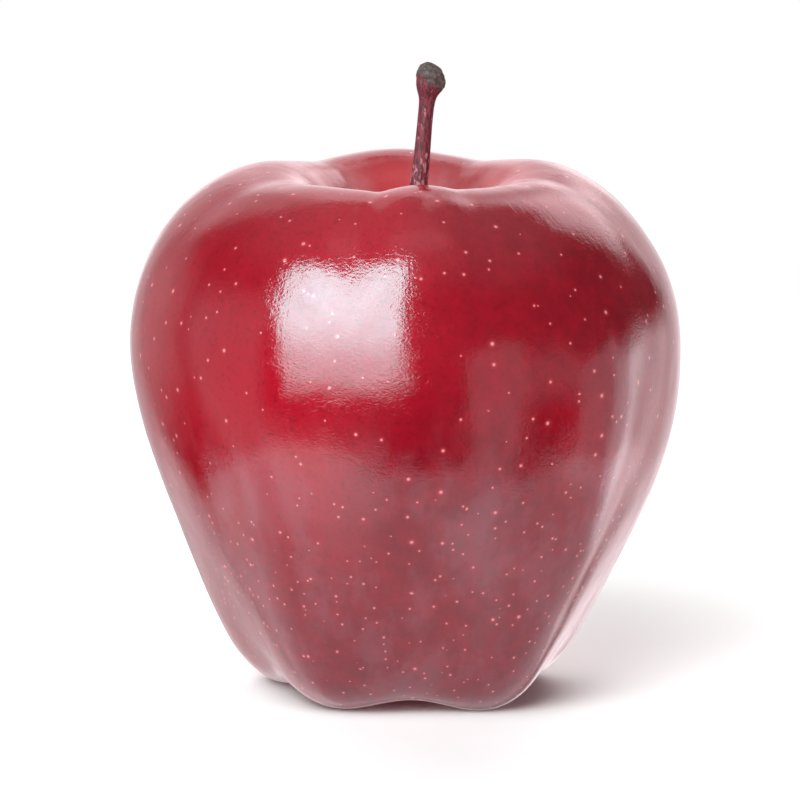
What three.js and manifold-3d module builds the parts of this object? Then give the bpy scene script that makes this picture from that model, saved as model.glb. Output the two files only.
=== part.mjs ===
// A red apple standing on its crown of five feet, with its stem in the hollow on top and the
// dried calyx in the basin underneath. Millimetres, +Z up. The resting plane is z = 0 and the
// Z axis runs up the middle of the fruit. Azimuths are degrees from the front (-Y) towards +X.
import * as THREE from "three";
import { mergeVertices } from "three/addons/utils/BufferGeometryUtils.js";
import Module from "manifold-3d";

const wasm = await Module();
wasm.setup();

// Fruit
const FRUIT_SECTION = [
  // half section, from the calyx's basin round a foot and up the cheek into the stem's hollow: radius, height
  [3.5, 10.0], [5.4, 9.5], [7.8, 7.8], [10.6, 4.1], [14.9, 0.6], [19.8, 1.0], [24.1, 5.7],
  [28.2, 13.4], [32.6, 22.8], [36.9, 32.8], [39.6, 42.8], [40.0, 53.0], [37.7, 62.4], [32.8, 69.7],
  [26.4, 74.3], [20.3, 76.1], [15.5, 75.2], [11.8, 72.0], [8.6, 66.8], [5.4, 62.4], [2.7, 60.9],
];
const SECTION_STEPS = 48;
const FRUIT_STEPS = 72; // facets round the fruit
const FEET = [
  // the five lobes: how much of a foot each has, how far it stands out, and how much of a rib rises above it
  { azimuth: -33, drop: 0.95, reach: 0.9, rib: 0.9 },
  { azimuth: 38, drop: 1.1, reach: 1.2, rib: 1.1 },
  { azimuth: 112, drop: 1.1, reach: 0.9, rib: 1.0 },
  { azimuth: 184, drop: 1.1, reach: 1.0, rib: 1.0 },
  { azimuth: -104, drop: 1.1, reach: 1.15, rib: 1.1 },
];
const FOOT_SHARPNESS = 10;
const FOOT_DROP = 2.5;
const RIB_DEPTH = 1.6;
const SHOULDERS = [
  // swellings of the rim round the stem's hollow; a higher sharpness makes a narrower one
  { azimuth: -42, rise: 0.25, sharpness: 12 },
  { azimuth: 7, rise: 0.75, sharpness: 30 },
  { azimuth: 50, rise: 0.1, sharpness: 14 },
  { azimuth: 112, rise: 0.95, sharpness: 9 },
  { azimuth: 184, rise: 1.1, sharpness: 9 },
  { azimuth: -104, rise: 1.0, sharpness: 9 },
];
const SHOULDER_RISE = 1.5;
const SHOULDER_REACH = 0.8;
const MEAN_FOOT = 0.6; // taken off the swellings, so that the surface goes in between them as well as out
const MEAN_SHOULDER = 0.5;
const SWAYS = [
  // the fruit leans a little to one side low down and to the other near the top
  { aside: 0.7, height: 30, spread: 16 },
  { aside: -0.4, height: 68, spread: 12 },
];

// Stem
const STEM_STEPS = 16;
const STEM_FOOT = 55.6; // height of its lower end, in the flesh
const STEM_ROOT_RADIUS = 1.35;
const STEM_SECTION = [
  // height and radius up the shaft, swelling at the top into the scar where it was picked
  [STEM_FOOT, 1.15], [STEM_FOOT + 0.6, STEM_ROOT_RADIUS], [61, STEM_ROOT_RADIUS], [65, 1.15], [72, 1.05],
  [80, 1.0], [85.2, 1.1], [87.2, 1.32], [88.8, 1.75], [89.9, 1.98], [90.8, 1.85], [91.5, 1.35], [91.8, 0.7],
];
const STEM_TOP = 91.9;
const STEM_LINE = [
  // how far the shaft has wandered from the axis at each height: x, y, height
  [0, 0, STEM_FOOT], [0, 0, 60.2], [0.85, -0.15, 67], [1.9, -0.45, 74.8],
  [2.85, -0.8, 84.8], [3.35, -0.95, 88.1], [4.0, -1.1, STEM_TOP],
];
const SCAR_SLOPE = 0.38; // the scar faces a little to +X
const SCAR_BLEND = [86, 90]; // heights over which that slope comes in

// Calyx
const CALYX_RADIUS = 3.0;
const CALYX_TOP = 13.0;
const CALYX_FACE = 9.6; // height of its lower face
const SEPALS = 5;
const SEPAL_LENGTH = 6.4;
const SEPAL_WIDTH = 3.4;
const SEPAL_TIP = 0.35;
const SEPAL_THICKNESS = 0.7;
const SEPAL_ARCH = 0.36; // how far its middle stands in front of its edges
const SEPAL_ROOT = { radius: 1.7, height: 0.9 }; // sunk that far behind the calyx's face
const SEPAL_CURL = 1.15; // lean of the tip from straight down, in radians
const STAMENS = 11;
const STAMEN_LENGTH = 2.6;
const STAMEN_RING = 1.15;

const GAP = 0.3; // between the fruit and what stands in it

// A uniform cubic B-spline through its end points, with no change in curvature at its joins.
class SectionCurve extends THREE.Curve {
  constructor(points) {
    super();
    const beyond = ([x, y], [u, v]) => [2 * x - u, 2 * y - v];
    const last = points.length - 1;
    this.points = [beyond(points[0], points[1]), ...points, beyond(points[last], points[last - 1])];
  }

  getPoint(t, target = new THREE.Vector2()) {
    const spans = this.points.length - 3;
    const span = Math.min(Math.floor(t * spans), spans - 1);
    const s = t * spans - span;
    const weights = [
      (1 - s) ** 3 / 6,
      (3 * s ** 3 - 6 * s ** 2 + 4) / 6,
      (-3 * s ** 3 + 3 * s ** 2 + 3 * s + 1) / 6,
      s ** 3 / 6,
    ];
    const blend = (axis) => weights.reduce((sum, weight, i) => sum + weight * this.points[span + i][axis], 0);
    return target.set(blend(0), blend(1));
  }
}

// What a list of swellings adds at an azimuth: each is at its full size in its middle and falls off round it.
function swell(azimuth, swellings, size) {
  return swellings.reduce((sum, one) => {
    const away = azimuth - THREE.MathUtils.degToRad(one.azimuth);
    return sum + one[size] * Math.exp((one.sharpness ?? FOOT_SHARPNESS) * (Math.cos(away) - 1));
  }, 0);
}

// Rises smoothly from 0 at the low value to 1 at the high one.
const rise = (low, high, value) => THREE.MathUtils.smoothstep(value, low, high);

// Where a point of a plain round apple goes once it has its lobes, ribs, feet and shoulders.
function lobed(point) {
  const radius = Math.hypot(point.x, point.y);
  const azimuth = Math.atan2(point.x, -point.y);
  const foot = (1 - rise(3, 26, point.z)) * rise(5, 14, radius);
  const rib = (1 - rise(10, 66, point.z)) * rise(8, 20, radius) * (1 - foot);
  const shoulder = rise(52, 77, point.z) * rise(4, 17, radius);
  const drops = swell(azimuth, FEET, "drop") - MEAN_FOOT;
  const reaches = swell(azimuth, FEET, "reach") - MEAN_FOOT;
  const ribs = swell(azimuth, FEET, "rib") - MEAN_FOOT;
  const rises = swell(azimuth, SHOULDERS, "rise") - MEAN_SHOULDER;
  const out = radius + RIB_DEPTH * (ribs * rib + reaches * foot) + SHOULDER_REACH * rises * shoulder;
  const up = point.z - FOOT_DROP * drops * foot + SHOULDER_RISE * rises * shoulder;
  const lean = SWAYS.reduce((sum, s) => sum + s.aside * Math.exp(-(((up - s.height) / s.spread) ** 2)), 0);
  return new THREE.Vector3(
    out * Math.sin(azimuth) + lean * rise(4, 14, radius),
    -out * Math.cos(azimuth),
    Math.max(up, 0), // each foot ends in a small flat where it rests
  );
}

// Moves each vertex of a geometry to where place puts it.
function moved(geometry, place) {
  const position = geometry.getAttribute("position");
  const at = new THREE.Vector3();
  for (let i = 0; i < position.count; i++) {
    const { x, y, z } = place(at.fromBufferAttribute(position, i));
    position.setXYZ(i, x, y, z);
  }
  geometry.computeVertexNormals();
  return geometry;
}

// A solid of revolution about Z from points of radius and height.
function turned(points, steps) {
  return new THREE.LatheGeometry(points.map(([r, z]) => new THREE.Vector2(r, z)), steps).rotateX(Math.PI / 2);
}

// The fruit, skin and flesh in one, with a plain socket below for the calyx and one above for the stem.
function fruit() {
  const skin = new SectionCurve(FRUIT_SECTION).getPoints(SECTION_STEPS).map(({ x, y }) => [x, y]);
  const calyxSocket = [CALYX_RADIUS + GAP, CALYX_TOP + GAP];
  const stemSocket = [STEM_ROOT_RADIUS + GAP, STEM_FOOT - GAP];
  const lips = [[calyxSocket[0], FRUIT_SECTION[0][1]], [stemSocket[0], FRUIT_SECTION.at(-1)[1] - GAP]];
  const section = [
    [0, calyxSocket[1]], calyxSocket, lips[0], ...skin, lips[1], stemSocket, [0, stemSocket[1]],
  ];
  return moved(turned(section, FRUIT_STEPS), lobed);
}

// The stem: a thin shaft that wanders off the axis and ends in a swollen, slanting scar.
function stem() {
  const section = STEM_SECTION.map(([z, r]) => [r, z]);
  const line = new THREE.CatmullRomCurve3(STEM_LINE.map((p) => new THREE.Vector3(...p))).getPoints(150);
  const nearest = (z) => line.reduce((best, p) => (Math.abs(p.z - z) < Math.abs(best.z - z) ? p : best));
  return moved(turned([[0, STEM_FOOT], ...section, [0, STEM_TOP]], STEM_STEPS), (p) => {
    const middle = nearest(p.z);
    const slope = SCAR_SLOPE * rise(...SCAR_BLEND, p.z);
    return new THREE.Vector3(p.x + middle.x, p.y + middle.y, p.z - slope * p.x);
  });
}

// A closed geometry as a solid that can be joined to others.
function solid(geometry) {
  const bare = geometry.clone();
  bare.deleteAttribute("normal");
  bare.deleteAttribute("uv");
  const merged = mergeVertices(bare, 1e-4);
  return new wasm.Manifold(
    new wasm.Mesh({
      numProp: 3,
      vertProperties: new Float32Array(merged.getAttribute("position").array),
      triVerts: new Uint32Array(merged.index.array),
    }),
  );
}

// Solids joined into one geometry.
function joined(solids) {
  const mesh = solids.reduce((whole, one) => whole.add(one)).getMesh();
  const geometry = new THREE.BufferGeometry();
  geometry.setAttribute("position", new THREE.BufferAttribute(new Float32Array(mesh.vertProperties), 3));
  geometry.setIndex(new THREE.BufferAttribute(new Uint32Array(mesh.triVerts), 1));
  geometry.computeVertexNormals();
  return geometry;
}

// One dried sepal: it hangs from the calyx, widens, arches across and curls outwards to a point.
function sepal(index) {
  const curl = SEPAL_CURL + 0.25 * Math.sin(index * 2.4);
  const blade = moved(new THREE.BoxGeometry(1, 1, 1, 4, 1, 8).translate(0, 0, 0.5), (p) => {
    const along = p.z * SEPAL_LENGTH;
    const swelling = 0.62 + 0.5 * Math.sin(Math.PI * Math.min(1.2 * p.z, 1));
    const width = SEPAL_WIDTH * swelling * (1 - p.z ** 3) + SEPAL_TIP;
    const arch = SEPAL_ARCH * (1 - (2 * p.x) ** 2) * (1 - p.z);
    const lean = curl * p.z ** 1.4;
    return new THREE.Vector3(
      p.x * width,
      -SEPAL_ROOT.radius - 0.72 * along * Math.sin(lean) - arch - p.y * SEPAL_THICKNESS,
      CALYX_FACE + SEPAL_ROOT.height - along * Math.cos(0.8 * lean),
    );
  });
  return blade.rotateZ(((index + 0.5) / SEPALS) * 2 * Math.PI);
}

// One dried stamen: a short rod that hangs from the calyx's face, a little aslant.
function stamen(index) {
  const length = STAMEN_LENGTH * (0.8 + 0.2 * Math.sin(index * 3.7));
  const slant = 0.1 + 0.22 * Math.sin(index * 1.9);
  return new THREE.CylinderGeometry(0.28, 0.16, length, 5)
    .rotateX(Math.PI / 2)
    .translate(0, 0, 0.5 - length / 2)
    .rotateX(slant)
    .translate(0, -STAMEN_RING, CALYX_FACE)
    .rotateZ((index / STAMENS) * 2 * Math.PI);
}

// The dried calyx: a disc set in the flesh, its sepals and the tuft of old stamens among them.
function calyx() {
  const disc = turned(
    [
      [0, CALYX_FACE], [CALYX_RADIUS - 0.4, CALYX_FACE], [CALYX_RADIUS, CALYX_FACE + 0.5],
      [CALYX_RADIUS, CALYX_TOP], [0, CALYX_TOP],
    ],
    20,
  );
  const sepals = Array.from({ length: SEPALS }, (_, i) => sepal(i));
  const stamens = Array.from({ length: STAMENS }, (_, i) => stamen(i));
  return joined([disc, ...sepals, ...stamens].map(solid));
}

const PIECES = [
  { name: "fruit", geometry: fruit(), color: 0x9c1424, roughness: 0.22 },
  { name: "stem", geometry: stem(), color: 0x6b2a30, roughness: 0.6 },
  { name: "calyx", geometry: calyx(), color: 0x5a4632, roughness: 0.85 },
];
const apple = new THREE.Group();
for (const { name, geometry, color, roughness } of PIECES) {
  const piece = new THREE.Mesh(geometry, new THREE.MeshStandardMaterial({ color, roughness, metalness: 0 }));
  piece.name = name;
  apple.add(piece);
}

// The lobes are uneven, so the whole is moved until its outline from above is centred on the Z axis.
const centre = new THREE.Box3().setFromObject(apple, true).getCenter(new THREE.Vector3());
for (const piece of apple.children) piece.position.set(-centre.x, -centre.y, 0);

export default apple;
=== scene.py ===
"""A red apple that stands upright on its five feet, with its stem and its dried calyx.

Shapes are worked out in millimetres, because a fruit is small, and put to metres when a mesh is
finished. Azimuths are degrees from the front (-Y) towards +X, and elevations are above the horizon.
"""
import logging
import math
import random
from dataclasses import dataclass
from enum import Enum
from functools import lru_cache

import bmesh
import bpy
from bpy.types import Material, Node, NodeSocket, NodeTree, Object
from mathutils import Matrix, Vector, noise


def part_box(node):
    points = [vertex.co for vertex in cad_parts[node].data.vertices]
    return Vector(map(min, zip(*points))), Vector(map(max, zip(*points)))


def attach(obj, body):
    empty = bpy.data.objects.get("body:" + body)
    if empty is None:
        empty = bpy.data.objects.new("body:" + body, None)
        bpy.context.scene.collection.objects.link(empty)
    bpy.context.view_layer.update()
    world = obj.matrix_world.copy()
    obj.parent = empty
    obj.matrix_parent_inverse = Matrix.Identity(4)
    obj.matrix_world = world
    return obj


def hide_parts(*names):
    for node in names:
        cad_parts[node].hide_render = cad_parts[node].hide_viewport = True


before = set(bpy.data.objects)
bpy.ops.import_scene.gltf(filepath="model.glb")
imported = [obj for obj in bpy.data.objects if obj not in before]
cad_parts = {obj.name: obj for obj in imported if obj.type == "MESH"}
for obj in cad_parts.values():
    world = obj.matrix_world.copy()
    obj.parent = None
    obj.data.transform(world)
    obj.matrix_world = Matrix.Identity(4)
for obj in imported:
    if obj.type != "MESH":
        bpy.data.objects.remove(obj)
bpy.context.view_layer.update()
ROOT = "root"
MM = 0.001
DEGREES = 180 / math.pi
QUARTER_TURN = 90.0
FLAT = (1.0, 1.0, 0.0)
UPRIGHT = (0.0, 0.0, 1.0)
SPOT_DEPTH = 0.3
SPOT_SIZES = (0.65, 0.7)
SPOT_CORE = (0.35, 1.35)
SPOT_HALO = 3.2

log = logging.getLogger("apple")

Value = NodeSocket | float | tuple[float, ...]
Triple = tuple[float, float, float]
Colour = Triple
Range = tuple[float, float]


@dataclass(frozen=True)
class Slope:
    """How a value goes smoothly from start to end while another goes from low to high."""

    low: float
    high: float
    start: float = 0.0
    end: float = 1.0


@dataclass(frozen=True)
class Grain:
    """The settings of a noise pattern, and how its place is stretched along X, Y and Z."""

    scale: Value
    detail: float = 2.0
    roughness: float = 0.5
    distortion: float = 0.0
    stretch: Triple = (1.0, 1.0, 1.0)


@dataclass(frozen=True)
class Mottle:
    """The size of soft uneven patches in millimetres, and their contrast."""

    size: float
    contrast: float


@dataclass(frozen=True)
class Streaks:
    """How fine streaks from pole to pole are around and along a body, and their detail."""

    around: float
    along: float
    detail: float


def rise(low: float, high: float, value: float) -> float:
    """Rises smoothly from 0 at the low value to 1 at the high one.

    Args:
        low: where the rise starts.
        high: where it ends.
        value: where to read it.

    Returns:
        A value from 0 to 1.
    """
    t = min(max((value - low) / (high - low), 0.0), 1.0)
    return t * t * (3 - 2 * t)


def toward(azimuth: float, elevation: float) -> Vector:
    """The unit vector that points to an azimuth and elevation.

    Args:
        azimuth: degrees from the front, positive towards +X.
        elevation: degrees above the horizon.

    Returns:
        A vector of length 1.
    """
    a, e = math.radians(azimuth), math.radians(elevation)
    return Vector((math.sin(a) * math.cos(e), -math.cos(a) * math.cos(e), math.sin(e)))


def spline(points: list[tuple[float, float]], steps: int) -> list[tuple[float, float]]:
    """Points along a uniform cubic B-spline that starts and ends on its end points.

    Args:
        points: its control points.
        steps: how many points to give.

    Returns:
        The points, from one end to the other.
    """
    first, second, *_ = points
    *_, last_but_one, last = points
    before = (2 * first[0] - second[0], 2 * first[1] - second[1])
    after = (2 * last[0] - last_but_one[0], 2 * last[1] - last_but_one[1])
    control = [before, *points, after]
    spans = len(control) - 3
    made = []
    for step in range(steps):
        place = step / (steps - 1) * spans
        span = min(int(place), spans - 1)
        s = place - span
        weights = (
            (1 - s) ** 3 / 6,
            (3 * s**3 - 6 * s**2 + 4) / 6,
            (-3 * s**3 + 3 * s**2 + 3 * s + 1) / 6,
            s**3 / 6,
        )
        near = control[span : span + 4]
        made.append(tuple(sum(w * p[axis] for w, p in zip(weights, near)) for axis in (0, 1)))
    return made


def turned(section: list[tuple[float, float]], steps: int) -> bmesh.types.BMesh:
    """A closed body of revolution about Z.

    Args:
        section: radius and height of each point, starting and ending on the axis.
        steps: how many facets it has round the axis.

    Returns:
        The body, in the units of the section.
    """
    body = bmesh.new()
    points = [body.verts.new((0.0, -radius, height)) for radius, height in section]
    edges = [body.edges.new(pair) for pair in zip(points, points[1:])]
    bmesh.ops.spin(
        body, geom=points + edges, cent=(0, 0, 0), axis=(0, 0, 1), dvec=(0, 0, 0),
        angle=2 * math.pi, steps=steps, use_merge=True, use_duplicate=False,
    )
    bmesh.ops.remove_doubles(body, verts=body.verts, dist=1e-4)
    bmesh.ops.recalc_face_normals(body, faces=body.faces)
    return body


def finished(name: str, body: bmesh.types.BMesh, material: Material) -> Object:
    """Makes an object of a body that was modelled in millimetres.

    Args:
        name: the object's name.
        body: the mesh, which is freed.
        material: its finish.

    Returns:
        The object, at the origin, smooth shaded and linked to the scene.
    """
    bmesh.ops.scale(body, vec=(MM, MM, MM), verts=body.verts)
    for face in body.faces:
        face.smooth = True
    mesh = bpy.data.meshes.new(name)
    body.to_mesh(mesh)
    body.free()
    mesh.materials.append(material)
    piece = bpy.data.objects.new(name, mesh)
    bpy.context.scene.collection.objects.link(piece)
    log.info("%s: %d faces", name, len(mesh.polygons))
    return piece


class Graph:
    """Adds nodes to a node tree and links them up."""

    def __init__(self, tree: NodeTree) -> None:
        """Starts on a node tree, which may already hold nodes."""
        self.tree = tree

    def add(self, kind: str, inputs: dict[str | int, Value] | None = None, **settings: object) -> Node:
        """Adds a node.

        Args:
            kind: the node's type, without its leading ShaderNode.
            inputs: what to link to or set on each input, by name or number.
            **settings: what to set on the node itself.

        Returns:
            The node.
        """
        node = self.tree.nodes.new("ShaderNode" + kind)
        for name, value in settings.items():
            setattr(node, name, value)
        for name, value in (inputs or {}).items():
            self.feed(node.inputs[name], value)
        return node

    def feed(self, socket: NodeSocket, value: Value) -> None:
        """Links a value to a socket if it is one itself, and sets it there otherwise."""
        if isinstance(value, NodeSocket):
            self.tree.links.new(value, socket)
        elif socket.type == "RGBA" and len(value) == 3:
            socket.default_value = (*value, 1.0)
        else:
            socket.default_value = value

    def maths(self, operation: str, *values: Value, clamp: bool = False) -> NodeSocket:
        """A Math node's result on up to three values."""
        return self.add("Math", dict(enumerate(values)), operation=operation, use_clamp=clamp).outputs[0]

    def vector(self, operation: str, *values: Value) -> NodeSocket:
        """A Vector Math node's vector result on its vectors."""
        return self.add("VectorMath", dict(enumerate(values)), operation=operation).outputs["Vector"]

    def measure(self, operation: str, *values: Value) -> NodeSocket:
        """A Vector Math node's number: a length, a distance or a dot product."""
        return self.add("VectorMath", dict(enumerate(values)), operation=operation).outputs["Value"]

    def scaled(self, vector: Value, by: Value) -> NodeSocket:
        """A vector times a number."""
        return self.add("VectorMath", {0: vector, "Scale": by}, operation="SCALE").outputs["Vector"]

    def ramp(self, value: Value, low: Value, high: Value, start: Value = 0.0, end: Value = 1.0) -> NodeSocket:
        """Goes smoothly from start to end as a value goes from low to high."""
        inputs = {"Value": value, "From Min": low, "From Max": high, "To Min": start, "To Max": end}
        return self.add("MapRange", inputs, interpolation_type="SMOOTHSTEP").outputs["Result"]

    def slope(self, value: Value, slope: Slope) -> NodeSocket:
        """Goes smoothly with a value as a slope says."""
        return self.ramp(value, slope.low, slope.high, slope.start, slope.end)

    def mixed(self, share: Value, first: Value, second: Value) -> NodeSocket:
        """Two colours mixed: the first where share is 0 and the second where it is 1."""
        return self.add("Mix", {0: share, 6: first, 7: second}, data_type="RGBA").outputs[2]

    def grain(self, place: Value, grain: Grain) -> NodeSocket:
        """A noise pattern's value at a place."""
        inputs = {"Vector": self.vector("MULTIPLY", place, grain.stretch), "Scale": grain.scale,
                  "Detail": grain.detail, "Roughness": grain.roughness, "Distortion": grain.distortion}
        return self.add("TexNoise", inputs).outputs[0]

    def group(self, tree: NodeTree, **inputs: Value) -> Node:
        """Places a node group with its own values on its inputs."""
        node = self.tree.nodes.new("ShaderNodeGroup")
        node.node_tree = tree
        for name, value in inputs.items():
            self.feed(node.inputs[name], value)
        return node

    def mottle(self, tree: NodeTree, place: Value, mottle: Mottle) -> NodeSocket:
        """The value of the mottle group, from 0 to 1."""
        return self.group(tree, Place=place, Size=mottle.size, Contrast=mottle.contrast).outputs[0]

    def streaks(self, tree: NodeTree, place: Value, streaks: Streaks) -> NodeSocket:
        """The value of the streaks group, about 0.5."""
        inputs = {"Place": place, "Around": streaks.around, "Along": streaks.along, "Detail": streaks.detail}
        return self.group(tree, **inputs).outputs[0]

    def bump(self, surface: Node, height: Value, depth: float, strength: float = 1.0) -> None:
        """Puts relief on a surface, from a height over it and its depth in millimetres."""
        bump = self.add("Bump", {"Strength": strength, "Distance": depth * MM, "Height": height})
        self.feed(surface.inputs["Normal"], bump.outputs["Normal"])


def new_group(name: str, inputs: dict[str, str], outputs: dict[str, str]) -> tuple[Graph, Node, Node]:
    """Starts a shader node group.

    Args:
        name: the group's name.
        inputs: the kind of each input socket, Float, Vector or Color, by its name.
        outputs: the same for its outputs.

    Returns:
        A graph on the group's tree, its input node and its output node.
    """
    tree = bpy.data.node_groups.new(name, "ShaderNodeTree")
    for way, sockets in (("INPUT", inputs), ("OUTPUT", outputs)):
        for socket, kind in sockets.items():
            tree.interface.new_socket(name=socket, in_out=way, socket_type="NodeSocket" + kind)
    return Graph(tree), tree.nodes.new("NodeGroupInput"), tree.nodes.new("NodeGroupOutput")


def spots_group() -> NodeTree:
    """Round spots of much the same size, scattered over a rounded surface.

    Each spot belongs to a cell of a Voronoi texture. It is measured across the surface, so it stays
    round wherever the cell's middle lies above or below, and cells that are far off it have none.

    Returns:
        The group: Core is each spot and Halo the ground just round it.
    """
    graph, given, made = new_group(
        "Spots",
        {"Place": "Vector", "Middle": "Vector", "Spacing": "Float", "Radius": "Float", "Keep": "Float"},
        {"Core": "Float", "Halo": "Float"},
    )
    place, spacing, radius = given.outputs["Place"], given.outputs["Spacing"], given.outputs["Radius"]
    outward = graph.vector("NORMALIZE", graph.vector("SUBTRACT", place, given.outputs["Middle"]))
    cells = graph.add("TexVoronoi", {"Vector": place, "Scale": graph.maths("DIVIDE", 1.0, spacing)})
    offset = graph.vector("SUBTRACT", place, cells.outputs["Position"])
    depth = graph.measure("DOT_PRODUCT", offset, outward)
    across = graph.measure("LENGTH", graph.vector("SUBTRACT", offset, graph.scaled(outward, depth)))
    draw = graph.add("SeparateColor", {"Color": cells.outputs["Color"]})
    limit = graph.maths("MULTIPLY", spacing, SPOT_DEPTH)
    near = graph.maths("LESS_THAN", graph.maths("ABSOLUTE", depth), limit)
    kept = graph.maths("MULTIPLY", near, graph.maths("LESS_THAN", draw.outputs[0], given.outputs["Keep"]))
    smallest, spread = SPOT_SIZES
    size = graph.maths("MULTIPLY", radius, graph.maths("MULTIPLY_ADD", draw.outputs[1], spread, smallest))
    inner, outer = (graph.maths("MULTIPLY", size, share) for share in SPOT_CORE)
    core = graph.ramp(across, inner, outer, 1.0, 0.0)
    halo = graph.ramp(across, 0.0, graph.maths("MULTIPLY", size, SPOT_HALO), 1.0, 0.0)
    graph.feed(made.inputs["Core"], graph.maths("MULTIPLY", core, kept))
    graph.feed(made.inputs["Halo"], graph.maths("MULTIPLY", halo, kept))
    return graph.tree


def streaks_group() -> NodeTree:
    """Fine streaks that run from one pole of a rounded body to the other.

    Returns:
        The group: Streaks is a value about 0.5.
    """
    graph, given, made = new_group(
        "Streaks",
        {"Place": "Vector", "Around": "Float", "Along": "Float", "Detail": "Float"},
        {"Streaks": "Float"},
    )
    flat = graph.vector("MULTIPLY", given.outputs["Place"], FLAT)
    ring = graph.scaled(graph.vector("NORMALIZE", flat), given.outputs["Around"])
    climb = graph.scaled(graph.vector("MULTIPLY", given.outputs["Place"], UPRIGHT), given.outputs["Along"])
    place = graph.vector("ADD", ring, climb)
    streaks = graph.add("TexNoise", {"Vector": place, "Scale": 1.0, "Detail": given.outputs["Detail"]})
    graph.feed(made.inputs["Streaks"], streaks.outputs[0])
    return graph.tree


def mottle_group() -> NodeTree:
    """Soft uneven patches.

    Returns:
        The group: Patches goes from 0 to 1, with more of the ground at either end as Contrast rises.
    """
    graph, given, made = new_group(
        "Mottle",
        {"Place": "Vector", "Size": "Float", "Contrast": "Float"},
        {"Patches": "Float"},
    )
    scale = graph.maths("DIVIDE", 1.0, given.outputs["Size"])
    patches = graph.grain(given.outputs["Place"], Grain(scale, 3.0, 0.55))
    half = graph.maths("DIVIDE", 0.5, given.outputs["Contrast"])
    ends = [graph.maths(way, 0.5, half) for way in ("SUBTRACT", "ADD")]
    graph.feed(made.inputs["Patches"], graph.ramp(patches, *ends))
    return graph.tree


def new_material(name: str) -> tuple[Material, Graph, Node, NodeSocket]:
    """Starts a material.

    Args:
        name: its name.

    Returns:
        The material, a graph on its tree, its Principled BSDF, and the place on the surface in millimetres.
    """
    material = bpy.data.materials.new(name)
    material.use_nodes = True
    graph = Graph(material.node_tree)
    place = graph.add("TexCoord").outputs["Object"]
    return material, graph, material.node_tree.nodes["Principled BSDF"], graph.scaled(place, 1 / MM)


@dataclass(frozen=True)
class Patterns:
    """The node groups that the finishes share."""

    spots: NodeTree
    streaks: NodeTree
    mottle: NodeTree


class Shade(Enum):
    """Which of the skin's reds a patch of painted light and shade leans to: bright for light, dark for shade.
    """

    BRIGHT = "bright"
    DARK = "dark"


@dataclass(frozen=True)
class PaintedLightPatch:
    """A soft patch of painted light and shade: another red about a direction from the fruit's middle.

    Its fade goes by the cosine of the angle to that direction.
    """

    azimuth: float
    elevation: float
    fade: Slope
    shade: Shade


@dataclass(frozen=True)
class Dusting:
    """A soft wedge of dusty bloom in the stem's hollow, by the cosine of the angle to its azimuth."""

    azimuth: float
    fade: Slope


@dataclass(frozen=True)
class Spotting:
    """Lenticels of one size: how far apart and how large they are, and how many are kept at a height."""

    spacing: float
    radius: float
    kept: Slope
    offset: Triple = (0.0, 0.0, 0.0)


@dataclass(frozen=True)
class Ground:
    """What the layers of the skin share: the graph, the node groups, and values over the surface."""

    graph: Graph
    patterns: Patterns
    place: NodeSocket
    height: NodeSocket
    blotches: NodeSocket
    fine: NodeSocket
    veil: NodeSocket


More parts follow.
